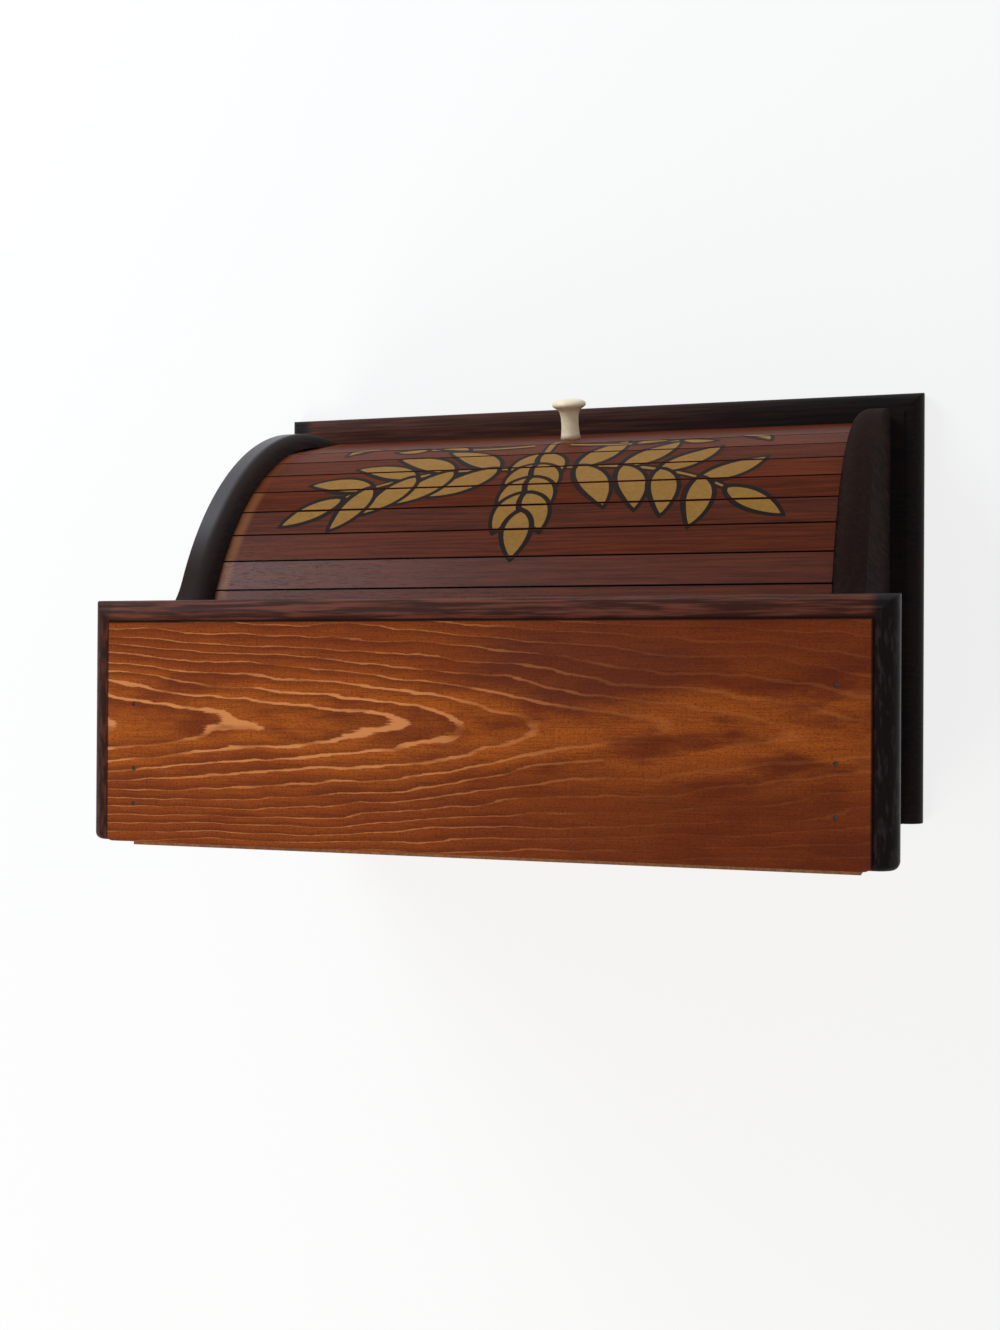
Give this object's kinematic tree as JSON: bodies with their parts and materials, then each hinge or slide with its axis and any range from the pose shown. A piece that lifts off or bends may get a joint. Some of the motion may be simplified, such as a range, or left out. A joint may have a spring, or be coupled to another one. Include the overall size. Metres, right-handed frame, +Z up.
{
  "type": "roll-top bread box",
  "caption": "Wooden roll-top bread box with a curved slatted shutter on a canvas back, running in grooved side panels between moulded boards.",
  "frame": {"origin": "middle of the box's footprint, on the surface that it stands on", "axes": "+X to the right along the boards, +Y to the back, +Z up"},
  "size_m": [0.457, 0.29, 0.288],
  "materials": {
    "stained_pine": "orange-brown stained pine under satin varnish",
    "dark_stained_pine": "near-black brown stain, satin",
    "mahogany_slats": "mahogany red-brown stain, satin",
    "raw_hardboard": "raw light-brown sheet, matt",
    "knob_cream": "cream enamel, soft gloss",
    "canvas": "unbleached glued canvas",
    "steel": "dark wire nails and screws"
  },
  "bodies": {
    "case": {"base_board": "stained_pine", "top_board": "stained_pine", "side_panel_right": "dark_stained_pine", "side_panel_left": "dark_stained_pine", "header_rail": "mahogany_slats", "back_panel": "raw_hardboard", "top_nails": "steel", "header_nails": "steel", "back_pins": "steel", "base_screws": "steel"},
    "shutter_front": {"bottom_rail": "mahogany_slats", "knob": "knob_cream", "knob_screw": "steel", "canvas_rail": "canvas", "slat_01": "mahogany_slats"},
    "slat_02_link": {"slat_02": "mahogany_slats", "canvas_02": "canvas"},
    "slat_03_link": {"slat_03": "mahogany_slats", "canvas_03": "canvas"},
    "slat_04_link": {"slat_04": "mahogany_slats", "canvas_04": "canvas"},
    "slat_05_link": {"slat_05": "mahogany_slats", "canvas_05": "canvas"},
    "slat_06_link": {"slat_06": "mahogany_slats", "canvas_06": "canvas"},
    "slat_07_link": {"slat_07": "mahogany_slats", "canvas_07": "canvas"},
    "slat_08_link": {"slat_08": "mahogany_slats", "canvas_08": "canvas"},
    "slat_09_link": {"slat_09": "mahogany_slats", "canvas_09": "canvas"}
  },
  "joints": [
    {"name": "shutter_roll", "type": "hinge", "parent": "case", "child": "shutter_front", "pos_m": [0, 0.0755, 0.032], "axis": [-1, 0, 0], "range_deg": [0, 60]},
    {"name": "slat_02_fold", "type": "hinge", "parent": "shutter_front", "child": "slat_02_link", "pos_m": [0, -0.09039, 0.11939], "axis": [-1, 0, 0], "range_deg": [0, 4.49]},
    {"name": "slat_03_fold", "type": "hinge", "parent": "shutter_front", "child": "slat_03_link", "pos_m": [0, -0.08133, 0.13331], "axis": [-1, 0, 0], "range_deg": [0, 24.43]},
    {"name": "slat_04_fold", "type": "hinge", "parent": "shutter_front", "child": "slat_04_link", "pos_m": [0, -0.07307, 0.14108], "axis": [-1, 0, 0], "range_deg": [0, 45.76]},
    {"name": "slat_05_fold", "type": "hinge", "parent": "shutter_front", "child": "slat_05_link", "pos_m": [0, -0.06432, 0.14642], "axis": [-1, 0, 0], "range_deg": [0, 65.2]},
    {"name": "slat_06_fold", "type": "hinge", "parent": "slat_05_link", "child": "slat_06_link", "pos_m": [0, -0.03864, 0.18075], "axis": [-1, 0, 0], "range_deg": [-0.792, 0]},
    {"name": "slat_07_fold", "type": "hinge", "parent": "slat_05_link", "child": "slat_07_link", "pos_m": [0, -0.02371, 0.19112], "axis": [-1, 0, 0], "range_deg": [-6.97, 0]},
    {"name": "slat_08_fold", "type": "hinge", "parent": "slat_05_link", "child": "slat_08_link", "pos_m": [0, -0.01475, 0.1967], "axis": [-1, 0, 0], "range_deg": [-13.15, 0]},
    {"name": "slat_09_fold", "type": "hinge", "parent": "slat_05_link", "child": "slat_09_link", "pos_m": [0, -0.00581, 0.20183], "axis": [-1, 0, 0], "range_deg": [-19.33, 0]}
  ],
  "couplings": [
    {"joint": "slat_02_fold", "follows": "shutter_roll", "ratio": 0.07318},
    {"joint": "slat_03_fold", "follows": "shutter_roll", "ratio": 0.40548},
    {"joint": "slat_04_fold", "follows": "shutter_roll", "ratio": 0.76107},
    {"joint": "slat_05_fold", "follows": "shutter_roll", "ratio": 1.085},
    {"joint": "slat_06_fold", "follows": "shutter_roll", "ratio": -0.01153},
    {"joint": "slat_07_fold", "follows": "shutter_roll", "ratio": -0.11453},
    {"joint": "slat_08_fold", "follows": "shutter_roll", "ratio": -0.21753},
    {"joint": "slat_09_fold", "follows": "shutter_roll", "ratio": -0.32053}
  ]
}
